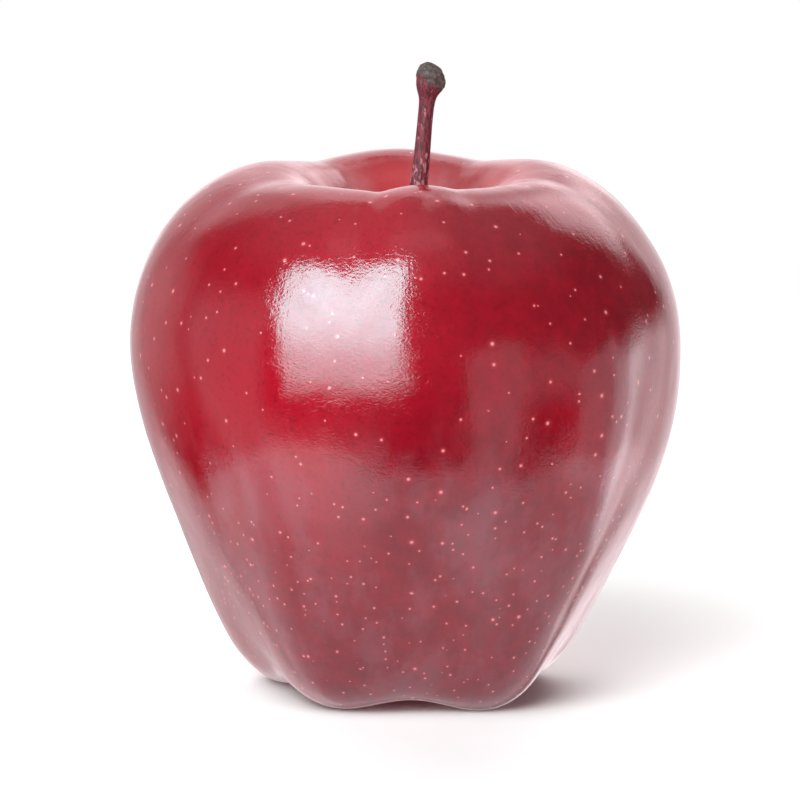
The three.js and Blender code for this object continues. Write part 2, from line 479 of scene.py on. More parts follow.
@dataclass(frozen=True)
class SkinFinish:
    """Waxy crimson skin with fine streaks, pale lenticels and the small wrinkles of its wax."""

    crimson: Colour = (0.205, 0.0030, 0.0085)
    bright: Colour = (0.325, 0.0055, 0.0160)
    dark: Colour = (0.120, 0.0030, 0.0080)
    haze: Colour = (0.27, 0.090, 0.115)
    coral: Colour = (0.42, 0.034, 0.040)
    bloom: Colour = (0.42, 0.17, 0.18)
    lenticel: Colour = (0.60, 0.21, 0.22)
    glow: Colour = (0.38, 0.022, 0.033)
    middle: Triple = (0.0, 0.0, 44.0)
    # painted light: the red turns brighter towards the side that faces the key light
    painted_light_direction: tuple[float, float] = (-26.0, 12.0)
    painted_light: Slope = Slope(0.35, 1.0)
    clouds: Mottle = Mottle(12.0, 2.2)
    clouds_share: float = 0.42
    shaded_foot: Slope = Slope(44.0, 14.0, 0.0, 0.66)
    # painted light and shade: a brighter patch high on the front, darker ones on the right, the left and low
    # in front
    patches: tuple[PaintedLightPatch, ...] = (
        PaintedLightPatch(26.0, 28.0, Slope(0.84, 1.0, 0.0, 0.60), Shade.DARK),
        PaintedLightPatch(-14.0, 33.0, Slope(0.92, 1.0, 0.0, 0.45), Shade.BRIGHT),
        PaintedLightPatch(-56.0, 34.0, Slope(0.82, 1.0, 0.0, 0.40), Shade.DARK),
        PaintedLightPatch(10.0, -12.0, Slope(0.86, 1.0, 0.0, 0.75), Shade.DARK),
        PaintedLightPatch(55.0, 20.0, Slope(0.88, 1.0, 0.0, 0.40), Shade.DARK),
    )
    broad_streaks: Streaks = Streaks(9.0, 0.03, 2.0)
    broad_depth: Slope = Slope(0.46, 0.66, 0.0, 0.07)
    fine_streaks: Streaks = Streaks(55.0, 0.16, 3.0)
    fine_depth: Slope = Slope(0.54, 0.72, 0.0, 0.05)
    blotches: Mottle = Mottle(2.6, 2.0)
    blotches_share: float = 0.34
    specks: Grain = Grain(1.3, 4.0, 0.65)
    specks_depth: Slope = Slope(0.50, 0.70, 0.0, 0.40)
    veil: Grain = Grain(0.16, 5.0, 0.6, stretch=(1.0, 1.0, 0.45))
    wax: Slope = Slope(0.42, 0.64)
    wax_heights: Slope = Slope(50.0, 32.0, 0.02, 0.24)
    hollow_radii: Slope = Slope(21.0, 12.0)
    hollow_heights: Slope = Slope(55.0, 62.0)
    coral_share: float = 0.75
    dustings: tuple[Dusting, ...] = (
        Dusting(-128.0, Slope(0.82, 1.0)), Dusting(142.0, Slope(0.74, 1.0)),
        Dusting(-70.0, Slope(0.85, 1.0)), Dusting(50.0, Slope(0.85, 1.0)),
    )
    dust_blotched: Slope = Slope(-1.0, 0.8)
    dust_broken: Slope = Slope(0.34, 0.58, 0.35, 1.0)
    dust_share: float = 0.72
    spottings: tuple[Spotting, ...] = (
        Spotting(3.7, 0.22, Slope(20.0, 48.0, 0.30, 0.66)),
        Spotting(2.1, 0.14, Slope(44.0, 18.0, 0.08, 0.95), (7.3, 1.9, 4.1)),
    )
    halo_share: float = 0.65
    smears: Mottle = Mottle(5.5, 2.0)
    roughness: Slope = Slope(0.0, 1.0, 0.068, 0.118)
    wrinkles: Grain = Grain(1.05, 2.0, 0.5, 1.6, (1.0, 1.0, 1.6))
    wrinkles_smeared: Slope = Slope(0.0, 1.0, 0.5, 1.2)
    wrinkles_heights: Slope = Slope(48.0, 68.0, 1.0, 1.45)
    fine_relief: Slope = Slope(52.0, 66.0, 0.4, 0.7)
    grain: Grain = Grain(4.2)
    grain_relief: float = 0.2
    core_relief: float = 0.5
    relief_depth: float = 0.022
    ior: float = 1.5
    specular: float = 0.5

    def red(self, ground: Ground) -> NodeSocket:
        """The skin's reds: clouds, streaks, blotches and specks, with painted light and shade: a brighter
        side towards the key light, a darker foot, and brighter and darker patches.

        Args:
            ground: what the layers share.

        Returns:
            The colour.
        """
        graph = ground.graph
        outward = graph.vector("NORMALIZE", graph.vector("SUBTRACT", ground.place, self.middle))
        # painted light: brighter red on the side that faces the key light
        painted_light = graph.measure("DOT_PRODUCT", outward, tuple(toward(*self.painted_light_direction)))
        colour = graph.mixed(graph.slope(painted_light, self.painted_light), self.crimson, self.bright)
        clouds = graph.mottle(ground.patterns.mottle, ground.place, self.clouds)
        colour = graph.mixed(graph.maths("MULTIPLY", clouds, self.clouds_share), colour, self.bright)
        colour = graph.mixed(graph.slope(ground.height, self.shaded_foot), colour, self.dark)
        reds = {Shade.BRIGHT: self.bright, Shade.DARK: self.dark}
        # painted light and shade: brighter and darker reds laid about directions from the middle
        for painted_patch in self.patches:
            near = graph.measure("DOT_PRODUCT", outward, tuple(toward(painted_patch.azimuth, painted_patch.elevation)))
            colour = graph.mixed(graph.slope(near, painted_patch.fade), colour, reds[painted_patch.shade])
        broad = graph.streaks(ground.patterns.streaks, ground.place, self.broad_streaks)
        colour = graph.mixed(graph.slope(broad, self.broad_depth), colour, self.dark)
        colour = graph.mixed(graph.slope(ground.fine, self.fine_depth), colour, self.dark)
        blotched = graph.maths("MULTIPLY", ground.blotches, self.blotches_share)
        colour = graph.mixed(blotched, colour, self.bright)
        specks = graph.slope(graph.grain(ground.place, self.specks), self.specks_depth)
        return graph.mixed(specks, colour, self.dark)

    def hazed(self, ground: Ground, colour: NodeSocket) -> NodeSocket:
        """Lays the dry haze of the wax over a colour, more of it low down.

        Args:
            ground: what the layers share.
            colour: the colour under it.

        Returns:
            The colour with the haze.
        """
        graph = ground.graph
        waxy = graph.slope(ground.veil, self.wax)
        wax = graph.maths("MULTIPLY", waxy, graph.slope(ground.height, self.wax_heights))
        return graph.mixed(wax, colour, self.haze)

    def hollowed(self, ground: Ground, colour: NodeSocket) -> NodeSocket:
        """Turns a colour to coral in the stem's hollow, with wedges of dusty bloom.

        Args:
            ground: what the layers share.
            colour: the colour outside the hollow.

        Returns:
            The colour with the hollow's own.
        """
        graph = ground.graph
        flat = graph.vector("MULTIPLY", ground.place, FLAT)
        radius, around = graph.measure("LENGTH", flat), graph.vector("NORMALIZE", flat)
        inside = graph.slope(radius, self.hollow_radii)
        hollow = graph.maths("MULTIPLY", inside, graph.slope(ground.height, self.hollow_heights))
        colour = graph.mixed(graph.maths("MULTIPLY", hollow, self.coral_share), colour, self.coral)
        dusty = 0.0
        for dusting in self.dustings:
            beside = graph.measure("DOT_PRODUCT", around, tuple(toward(dusting.azimuth, 0.0)))
            dusty = graph.maths("MAXIMUM", dusty, graph.slope(beside, dusting.fade))
        blotched = graph.slope(ground.blotches, self.dust_blotched)
        broken = graph.maths("MULTIPLY", blotched, graph.slope(ground.veil, self.dust_broken))
        dusty = graph.maths("MULTIPLY", dusty, graph.maths("MULTIPLY", hollow, broken))
        return graph.mixed(graph.maths("MULTIPLY", dusty, self.dust_share), colour, self.bloom)

    def spotted(self, ground: Ground, colour: NodeSocket) -> tuple[NodeSocket, NodeSocket]:
        """Scatters the lenticels over a colour.

        Args:
            ground: what the layers share.
            colour: the colour between them.

        Returns:
            The colour with the lenticels, and their mask.
        """
        graph = ground.graph
        halo, core = 0.0, 0.0
        for spotting in self.spottings:
            spots = graph.group(
                ground.patterns.spots, Place=graph.vector("ADD", ground.place, spotting.offset),
                Middle=tuple(m + o for m, o in zip(self.middle, spotting.offset)), Spacing=spotting.spacing,
                Radius=spotting.radius, Keep=graph.slope(ground.height, spotting.kept),
            )
            halo = graph.maths("MAXIMUM", halo, spots.outputs["Halo"])
            core = graph.maths("MAXIMUM", core, spots.outputs["Core"])
        colour = graph.mixed(graph.maths("MULTIPLY", halo, self.halo_share), colour, self.glow)
        return graph.mixed(core, colour, self.lenticel), core

    def relieved(self, ground: Ground, core: NodeSocket, surface: Node) -> None:
        """Gives the skin its gloss and its finest relief.

        Args:
            ground: what the layers share.
            core: the lenticels' mask.
            surface: the material's shader.
        """
        graph = ground.graph
        smears = graph.mottle(ground.patterns.mottle, ground.place, self.smears)
        graph.feed(surface.inputs["Roughness"], graph.slope(smears, self.roughness))
        smeared = graph.slope(smears, self.wrinkles_smeared)
        rough = graph.maths("MULTIPLY", smeared, graph.slope(ground.height, self.wrinkles_heights))
        bumps = graph.maths("MULTIPLY", graph.grain(ground.place, self.wrinkles), rough)
        streaked = graph.slope(ground.height, self.fine_relief)
        bumps = graph.maths("MULTIPLY_ADD", ground.fine, streaked, bumps)
        bumps = graph.maths("MULTIPLY_ADD", graph.grain(ground.place, self.grain), self.grain_relief, bumps)
        bumps = graph.maths("MULTIPLY_ADD", core, self.core_relief, bumps)
        graph.bump(surface, bumps, self.relief_depth)

    def material(self, patterns: Patterns) -> Material:
        """Builds the skin.

        Args:
            patterns: the shared node groups.

        Returns:
            The material.
        """
        material, graph, surface, place = new_material("apple_skin")
        ground = Ground(
            graph, patterns, place,
            height=graph.add("SeparateXYZ", {"Vector": place}).outputs["Z"],
            blotches=graph.mottle(patterns.mottle, place, self.blotches),
            fine=graph.streaks(patterns.streaks, place, self.fine_streaks),
            veil=graph.grain(place, self.veil),
        )
        colour = self.hollowed(ground, self.hazed(ground, self.red(ground)))
        colour, core = self.spotted(ground, colour)
        graph.feed(surface.inputs["Base Color"], colour)
        self.relieved(ground, core, surface)
        surface.inputs["IOR"].default_value = self.ior
        surface.inputs["Specular IOR Level"].default_value = self.specular
        return material


@dataclass(frozen=True)
class StemFinish:
    """Maroon bark with pale flecks and fibres, and a dark scar at its end."""

    maroon: Colour = (0.20, 0.020, 0.032)
    shade: Colour = (0.075, 0.008, 0.014)
    fleck: Colour = (0.42, 0.16, 0.19)
    scar: Colour = (0.034, 0.016, 0.013)
    ash: Colour = (0.135, 0.078, 0.066)
    fibres: Grain = Grain(3.2, 3.0, 0.6, 0.4, (1.0, 1.0, 0.22))
    fibres_red: Slope = Slope(0.42, 0.60)
    flecks: Grain = Grain(2.1, 2.0, 0.6, stretch=(1.0, 1.0, 0.45))
    flecks_limit: Slope = Slope(86.0, 68.0, 0.66, 0.50)
    flecks_edge: Slope = Slope(-0.04, 0.08)
    ragged: Grain = Grain(1.6)
    ragged_reach: float = 1.4
    scar_edge: Slope = Slope(-0.7, 0.4)
    ashes: Mottle = Mottle(0.55, 2.6)
    ashes_share: float = 0.75
    roughness: Slope = Slope(0.3, 0.7, 0.75, 0.55)
    specular: float = 0.28
    pits: Grain = Grain(7.0, 3.0, 0.6)
    relief_depth: float = 0.09

    def material(self, patterns: Patterns, scar: tuple[Vector, Vector]) -> Material:
        """Builds the bark.

        Args:
            patterns: the shared node groups.
            scar: a point on the edge of the scar and the way that the scar faces, in millimetres.

        Returns:
            The material.
        """
        material, graph, surface, place = new_material("stem_bark")
        height = graph.add("SeparateXYZ", {"Vector": place}).outputs["Z"]
        fibres = graph.grain(place, self.fibres)
        colour = graph.mixed(graph.slope(fibres, self.fibres_red), self.shade, self.maroon)
        limit = graph.slope(height, self.flecks_limit)
        above = graph.maths("SUBTRACT", graph.grain(place, self.flecks), limit)
        colour = graph.mixed(graph.slope(above, self.flecks_edge), colour, self.fleck)
        point, facing = scar
        beyond = graph.measure("DOT_PRODUCT", graph.vector("SUBTRACT", place, tuple(point)), tuple(facing))
        stray = graph.maths(
            "MULTIPLY_ADD", graph.grain(place, self.ragged), self.ragged_reach, -self.ragged_reach / 2
        )
        ashes = graph.mottle(patterns.mottle, place, self.ashes)
        wood = graph.mixed(graph.maths("MULTIPLY", ashes, self.ashes_share), self.scar, self.ash)
        scarred = graph.slope(graph.maths("ADD", beyond, stray), self.scar_edge)
        graph.feed(surface.inputs["Base Color"], graph.mixed(scarred, colour, wood))
        graph.feed(surface.inputs["Roughness"], graph.slope(fibres, self.roughness))
        surface.inputs["Specular IOR Level"].default_value = self.specular
        graph.bump(surface, graph.maths("ADD", fibres, graph.grain(place, self.pits)), self.relief_depth)
        return material


@dataclass(frozen=True)
class CalyxFinish:
    """Dry brown sepals and stamens."""

    dark: Colour = (0.045, 0.025, 0.015)
    pale: Colour = (0.23, 0.145, 0.085)
    veins: Streaks = Streaks(9.0, 0.4, 3.0)
    veins_share: float = 0.6
    patches: Mottle = Mottle(1.1, 2.2)
    patches_share: float = 0.5
    paler: Slope = Slope(0.25, 0.85)
    roughness: Slope = Slope(0.0, 1.0, 0.95, 0.72)
    relief_depth: float = 0.1
    relief_strength: float = 0.8

    def material(self, patterns: Patterns) -> Material:
        """Builds the dry leaf.

        Args:
            patterns: the shared node groups.

        Returns:
            The material.
        """
        material, graph, surface, place = new_material("dry_calyx")
        veins = graph.streaks(patterns.streaks, place, self.veins)
        patches = graph.mottle(patterns.mottle, place, self.patches)
        patched = graph.maths("MULTIPLY", patches, self.patches_share)
        share = graph.maths("MULTIPLY_ADD", veins, self.veins_share, patched)
        colour = graph.mixed(graph.slope(share, self.paler), self.dark, self.pale)
        graph.feed(surface.inputs["Base Color"], colour)
        graph.feed(surface.inputs["Roughness"], graph.slope(patches, self.roughness))
        graph.bump(surface, share, self.relief_depth, self.relief_strength)
        return material


@dataclass(frozen=True)
class Lobe:
    """One of the fruit's five lobes: its foot's drop and reach, and the rib above it."""

    azimuth: float
    drop: float
    reach: float
    rib: float


@dataclass(frozen=True)
class Shoulder:
    """A swelling of the rim round the stem's hollow."""

    azimuth: float
    rise: float
    sharpness: float


@dataclass(frozen=True)
class Fold:
    """A ridge, or a groove where its height is below 0, from the low height of a stretch to the high one."""

    azimuth: float
    height: float
    sharpness: float
    low: float
    high: float
    fade: float = 12.0


@dataclass(frozen=True)
class Fruit:
    """The fruit: one body of flesh and skin."""

    section: tuple[tuple[float, float], ...] = (
        (0.0, 10.4), (1.9, 10.3), (3.5, 10.0), (5.4, 9.5), (7.8, 7.8), (10.6, 4.1), (14.9, 0.6), (19.8, 1.0),
        (24.1, 5.7), (28.2, 13.4), (32.6, 22.8), (36.9, 32.8), (39.6, 42.8), (40.0, 53.0), (37.7, 62.4),
        (32.8, 69.7), (26.4, 74.3), (20.3, 76.1), (15.5, 75.2), (11.8, 72.0), (8.6, 66.8), (5.4, 62.4),
        (2.7, 60.9), (1.2, 60.6), (0.0, 60.5),
    )
    lobes: tuple[Lobe, ...] = (
        Lobe(-33, 0.95, 0.9, 0.9), Lobe(38, 1.1, 1.2, 1.1), Lobe(112, 1.1, 0.9, 1.0),
        Lobe(184, 1.1, 1.0, 1.0), Lobe(-104, 1.1, 1.15, 1.1),
    )
    lobe_sharpness: float = 10.0
    foot_drop: float = 2.5
    rib_depth: float = 1.6
    shoulders: tuple[Shoulder, ...] = (
        Shoulder(-42, 0.25, 12), Shoulder(7, 0.75, 30), Shoulder(50, 0.1, 14), Shoulder(112, 0.95, 9),
        Shoulder(184, 1.1, 9), Shoulder(-104, 1.0, 9),
    )
    shoulder_rise: float = 1.5
    shoulder_reach: float = 0.8
    mean_lobe: float = 0.6
    mean_shoulder: float = 0.5
    sways: tuple[tuple[float, float, float], ...] = ((0.7, 30.0, 16.0), (-0.4, 68.0, 12.0))
    folds: tuple[Fold, ...] = (
        Fold(-12, -0.55, 240, 67, 71, 9), Fold(21, -0.12, 260, 68, 90, 8), Fold(-68, -0.18, 120, 66, 90),
        Fold(76, -0.20, 120, 64, 90), Fold(148, -0.25, 120, 62, 90), Fold(-142, -0.25, 120, 62, 90),
        Fold(-33, 0.50, 80, 6, 38, 16), Fold(41, 0.42, 60, 4, 20, 12), Fold(47, 0.50, 70, 26, 52, 12),
        Fold(112, 0.35, 55, 4, 30, 14), Fold(184, 0.35, 55, 4, 30, 14), Fold(-104, 0.38, 55, 4, 30, 14),
        Fold(5, -0.25, 60, 3, 20, 18), Fold(-65, -0.9, 11, 10, 40, 18), Fold(76, -0.9, 11, 10, 46, 18),
        Fold(-101, 0.45, 10, 10, 48, 18), Fold(100, 0.55, 10, 10, 50, 18),
    )
    foot_heights: Range = (3, 26)
    foot_radii: Range = (5, 14)
    rib_heights: Range = (10, 66)
    rib_radii: Range = (8, 20)
    shoulder_heights: Range = (52, 77)
    shoulder_radii: Range = (4, 17)
    sway_radii: Range = (4, 14)
    relief_heights: Range = (0.4, 6)
    relief_radii: Range = (6, 16)
    undulation: float = 0.075
    undulation_size: Triple = (11.0, 11.0, 20.0)
    undulation_octaves: tuple[float, float, int] = (1.0, 2.1, 2)
    ripple: float = 0.024
    ripple_size: float = 3.2
    ripple_offset: Triple = (9.0, 2.0, 5.0)
    flute: float = 0.014
    flutes: Range = (13.0, 11.0)
    section_steps: int = 300
    steps: int = 288

    def swell(self, azimuth: float, swellings: list[tuple[float, float, float]]) -> float:
        """What swellings add together at an azimuth.

        Args:
            azimuth: where, in radians.
            swellings: the azimuth in degrees, the size and the sharpness of each.

        Returns:
            The sum, in which each counts for its size in its middle and falls off round the fruit.
        """
        return sum(
            size * math.exp(sharpness * (math.cos(azimuth - math.radians(middle)) - 1))
            for middle, size, sharpness in swellings
        )

    @lru_cache(maxsize=None)
    def swells(self, azimuth: float) -> tuple[float, float, float, float]:
        """The drop, reach, rib and shoulder that the fruit has at an azimuth, about their means.

        Args:
            azimuth: where, in radians.

        Returns:
            The four of them.
        """
        sharp = self.lobe_sharpness
        shoulders = [(shoulder.azimuth, shoulder.rise, shoulder.sharpness) for shoulder in self.shoulders]
        return (
            self.swell(azimuth, [(lobe.azimuth, lobe.drop, sharp) for lobe in self.lobes]) - self.mean_lobe,
            self.swell(azimuth, [(lobe.azimuth, lobe.reach, sharp) for lobe in self.lobes]) - self.mean_lobe,
            self.swell(azimuth, [(lobe.azimuth, lobe.rib, sharp) for lobe in self.lobes]) - self.mean_lobe,
            self.swell(azimuth, shoulders) - self.mean_shoulder,
        )

    def lobed(self, point: Vector) -> Vector:
        """Where a point of a plain round apple goes once it has its lobes, ribs, feet and shoulders.

        Args:
            point: the plain point, in millimetres.

        Returns:
            The moved point.
        """
        radius, azimuth = math.hypot(point.x, point.y), math.atan2(point.x, -point.y)
        foot = (1 - rise(*self.foot_heights, point.z)) * rise(*self.foot_radii, radius)
        rib = (1 - rise(*self.rib_heights, point.z)) * rise(*self.rib_radii, radius) * (1 - foot)
        shoulder = rise(*self.shoulder_heights, point.z) * rise(*self.shoulder_radii, radius)
        drops, reaches, ribs, rises = self.swells(round(azimuth, 5))
        out = radius + self.rib_depth * (ribs * rib + reaches * foot)
        out += self.shoulder_reach * rises * shoulder
        up = point.z - self.foot_drop * drops * foot + self.shoulder_rise * rises * shoulder
        lean = sum(aside * math.exp(-(((up - at) / spread) ** 2)) for aside, at, spread in self.sways)
        aside = lean * rise(*self.sway_radii, radius)
        return Vector((out * math.sin(azimuth) + aside, -out * math.cos(azimuth), max(up, 0)))

    def relief(self, point: Vector) -> float:
        """How far the skin stands out at a point, for its folds, gentle undulation, ripples and flutes.

        Args:
            point: the lobed point, in millimetres.

        Returns:
            The height above the smooth fruit, in millimetres.
        """
        azimuth = math.atan2(point.x, -point.y)
        radius = math.hypot(point.x, point.y)
        outside = rise(*self.relief_radii, radius) * rise(*self.relief_heights, point.z)
        folds = sum(
            fold.height * math.exp(fold.sharpness * (math.cos(azimuth - math.radians(fold.azimuth)) - 1))
            * rise(fold.low - fold.fade, fold.low, point.z) * rise(fold.high + fold.fade, fold.high, point.z)
            for fold in self.folds
        )
        stretched = Vector(place / size for place, size in zip(point, self.undulation_size))
        broad = noise.fractal(stretched, *self.undulation_octaves)
        small = noise.noise(point / self.ripple_size + Vector(self.ripple_offset))
        count, length = self.flutes
        flute = noise.noise(Vector((math.sin(azimuth) * count, math.cos(azimuth) * count, point.z / length)))
        return outside * (self.undulation * broad + self.ripple * small + self.flute * flute + folds)

    def build(self, material: Material) -> tuple[Object, Vector]:
        """Models the fruit.

        Args:
            material: the skin.

        Returns:
            The fruit, and how far it was moved in millimetres to stand where the CAD fruit stands.
        """
        body = turned(spline(list(self.section), self.section_steps), self.steps)
        for vertex in body.verts:
            vertex.co = self.lobed(vertex.co)
        low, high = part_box("fruit")
        middle = (low + high) / 2 / MM
        shift = Vector((0.0, 0.0, 0.0))
        for axis in (0, 1):
            places = [vertex.co[axis] for vertex in body.verts]
            shift[axis] = middle[axis] - (min(places) + max(places)) / 2
        body.normal_update()
        moves = [vertex.normal * self.relief(vertex.co) for vertex in body.verts]
        for vertex, move in zip(body.verts, moves):
            vertex.co += move + shift
        piece = finished("apple_fruit", body, material)
        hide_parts("fruit")
        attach(piece, ROOT)
        return piece, shift


@dataclass(frozen=True)
class Stem:
    """The stem: a thin shaft that leans off the axis and ends in the swollen scar where it was picked."""

    section: tuple[tuple[float, float], ...] = (
        (0.0, 55.6), (1.15, 55.7), (1.4, 57.5), (1.45, 61.0), (1.42, 65.0), (1.35, 70.0), (1.24, 75.0),
        (1.12, 80.0), (1.08, 83.6), (1.12, 85.4), (1.30, 86.6), (1.82, 87.4), (2.10, 88.6), (1.98, 89.8),
        (1.60, 90.6), (0.9, 91.15), (0.0, 91.3),
    )
    line: tuple[tuple[float, float, float], ...] = (
        (0.0, 0.0, 55.6), (0.0, 0.0, 60.2), (0.85, -0.15, 67.0), (1.9, -0.45, 74.8), (2.85, -0.8, 84.8),
        (3.35, -0.95, 88.1), (4.0, -1.1, 91.9),
    )
    scar_slope: float = 0.44
    scar_blend: Range = (86.0, 90.0)
    knob: Triple = (3.7, -1.05, 88.6)
    knob_facing: Triple = (0.7, 0.0, 1.0)
    ridge: float = 0.07
    ridge_grain: Triple = (1.3, 1.3, 0.18)
    ridge_offset: Triple = (3.0, 7.0, 1.0)
    lumps: float = 0.15
    lump_size: float = 0.7
    lump_octaves: tuple[float, float, int] = (0.9, 2.2, 3)
    lump_heights: Range = (87.2, 89.2)
    section_steps: int = 220
    steps: int = 56

    def middle(self, height: float) -> Vector:
        """Where the shaft's middle line is at a height.

        Args:
            height: in millimetres.

        Returns:
            How far it is off the fruit's axis, with no height.
        """
        last = len(self.line) - 2
        index = max(i for i in range(last + 1) if i == 0 or self.line[i][2] <= height)
        near = [Vector(self.line[min(max(i, 0), last + 1)]) for i in range(index - 1, index + 3)]
        before, start, end, after = near
        t = min(max((height - start.z) / (end.z - start.z), 0.0), 1.0)
        step = end.z - start.z
        leave = (end - before) / max(end.z - before.z, 1e-6) * step
        arrive = (after - start) / max(after.z - start.z, 1e-6) * step
        place = (
            (2 * t**3 - 3 * t**2 + 1) * start + (t**3 - 2 * t**2 + t) * leave
            + (3 * t**2 - 2 * t**3) * end + (t**3 - t**2) * arrive
        )
        return Vector((place.x, place.y, 0.0))

    def bark(self, point: Vector) -> float:
        """How far the bark stands out at a point of the straight shaft.

        Args:
            point: in millimetres.

        Returns:
            The height above the plain shaft, in millimetres.
        """
        ridges = noise.noise(point * Vector(self.ridge_grain) + Vector(self.ridge_offset))
        lumps = noise.fractal(point / self.lump_size, *self.lump_octaves)
        return self.ridge * ridges + self.lumps * lumps * rise(*self.lump_heights, point.z)

    def build(self, material: Material, shift: Vector) -> Object:
        """Models the stem.

        Args:
            material: the bark.
            shift: how far the fruit was moved.

        Returns:
            The stem.
        """
        body = turned(spline(list(self.section), self.section_steps), self.steps)
        body.normal_update()
        moves = [vertex.normal * self.bark(vertex.co) for vertex in body.verts]
        for vertex, move in zip(body.verts, moves):
            point = vertex.co + move
            slope = self.scar_slope * rise(*self.scar_blend, point.z)
            leaning = point + self.middle(point.z) + shift
            leaning.z -= slope * point.x
            vertex.co = leaning
        piece = finished("apple_stem", body, material)
        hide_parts("stem")
        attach(piece, ROOT)
        return piece


@dataclass(frozen=True)
class Calyx:
    """The dried calyx: a disc in the basin, its sepals and the tuft of old stamens among them."""

    radius: float = 3.0
    top: float = 13.0
    face: float = 9.6
    sepals: int = 5
    length: float = 6.4
    width: float = 3.4
    tip: float = 0.25
    thickness: float = 0.5
    arch: float = 0.36
    root_radius: float = 1.7
    root_height: float = 0.9
    curl: float = 1.15
    stamens: int = 17
    stamen_length: float = 2.6
    stamen_root: float = 0.4
    stamen_radii: Range = (0.11, 0.2)
    stamen_sides: int = 8
    stamen_heads: Range = (0.2, 0.3)
    stamen_rings: Range = (0.65, 1.25)
    seed: int = 5

    def sepal(self, body: bmesh.types.BMesh, index: int, draw: random.Random) -> None:
        """Adds one dried sepal, which widens, arches across and curls outwards to a point.

        Args:
            body: the mesh to add to.
            index: its place among the sepals.
            draw: the random numbers for its crinkles.
        """
        made = bmesh.ops.create_grid(body, x_segments=10, y_segments=22, size=0.5)
        curl = self.curl + 0.25 * math.sin(index * 2.4)
        crinkle = Vector((draw.random(), draw.random(), draw.random())) * 40
        turn = Matrix.Rotation((index + 0.5) / self.sepals * 2 * math.pi, 3, "Z")
        for vertex in made["verts"]:
            side, along = vertex.co.x, vertex.co.y + 0.5
            swelling = 0.62 + 0.5 * math.sin(math.pi * min(1.2 * along, 1))
            width = self.width * swelling * (1 - along**3) + self.tip
            lean = curl * along**1.4
            reach = along * self.length
            wave = 0.45 * noise.noise(crinkle + Vector((side * 2.2, along * 3.0, 0.0))) * along
            out = self.root_radius + 0.72 * reach * math.sin(lean)
            arch = self.arch * (1 - 4 * side**2) * (1 - along)
            down = reach * math.cos(0.8 * lean) - 0.5 * wave
            height = self.face + self.root_height - down
            vertex.co = turn @ Vector((side * width, -out - arch - wave, height))
        faces = list({face for vertex in made["verts"] for face in vertex.link_faces})
        bmesh.ops.recalc_face_normals(body, faces=faces)
        bmesh.ops.solidify(body, geom=faces, thickness=self.thickness)

    def stamen(self, body: bmesh.types.BMesh, index: int, draw: random.Random) -> None:
        """Adds one dried stamen, which hangs a little aslant and ends in a knob.

        Args:
            body: the mesh to add to.
            index: its place among the stamens.
            draw: the random numbers for its length and slant.
        """
        length = self.stamen_length * draw.uniform(0.7, 1.05)
        ring = self.stamen_rings[index % 2]
        turn = Matrix.Rotation(index / self.stamens * 2 * math.pi + draw.uniform(-0.1, 0.1), 4, "Z")
        slant = Matrix.Rotation(draw.uniform(-0.2, 0.35), 4, "X")
        root = turn @ Matrix.Translation((0, -ring, self.face))
        place = root @ slant @ Matrix.Translation((0, 0, self.stamen_root - length / 2))
        foot, top = self.stamen_radii
        bmesh.ops.create_cone(
            body, cap_ends=True, segments=self.stamen_sides, radius1=foot, radius2=top, depth=length,
            matrix=place,
        )
        head = place @ Matrix.Translation((0, 0, -length / 2))
        bmesh.ops.create_icosphere(body, subdivisions=2, radius=draw.uniform(*self.stamen_heads), matrix=head)

    def build(self, material: Material, shift: Vector) -> Object:
        """Models the calyx.

        Args:
            material: the dry leaf.
            shift: how far the fruit was moved.

        Returns:
            The calyx.
        """
        draw = random.Random(self.seed)
        body = turned(
            [(0.0, self.face + 0.5), (self.radius * 0.5, self.face + 0.2), (self.radius - 0.4, self.face),
             (self.radius, self.face + 0.5), (self.radius, self.top), (0.0, self.top)],
            40,
        )
        for index in range(self.sepals):
            self.sepal(body, index, draw)
        for index in range(self.stamens):
            self.stamen(body, index, draw)
        bmesh.ops.translate(body, vec=shift, verts=body.verts)
        piece = finished("apple_calyx", body, material)
        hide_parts("calyx")
        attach(piece, ROOT)
        return piece


@dataclass(frozen=True)
class Panel:
    """A bright upright panel far off, as the skin mirrors it.

    It is seen from the fruit: its azimuth, half its width, and its low and high ends, in degrees. Its
    sides, end and foot fade over a softness. It can slant, widen upwards (flare) and lean to one side.
    """

    azimuth: float
    half_width: float
    low: float
    high: float
    radiance: float
    side: float = 0.08
    end: float = 0.08
    slant: float = 0.0
    foot: float = 0.08
    flare: float = 0.0
    lean: float = 0.0


@dataclass(frozen=True)
class Lamp:
    """A square area light for matt surfaces: where it stands, as seen from the fruit, and its watts."""

    name: str
    azimuth: float
    elevation: float
    power: float


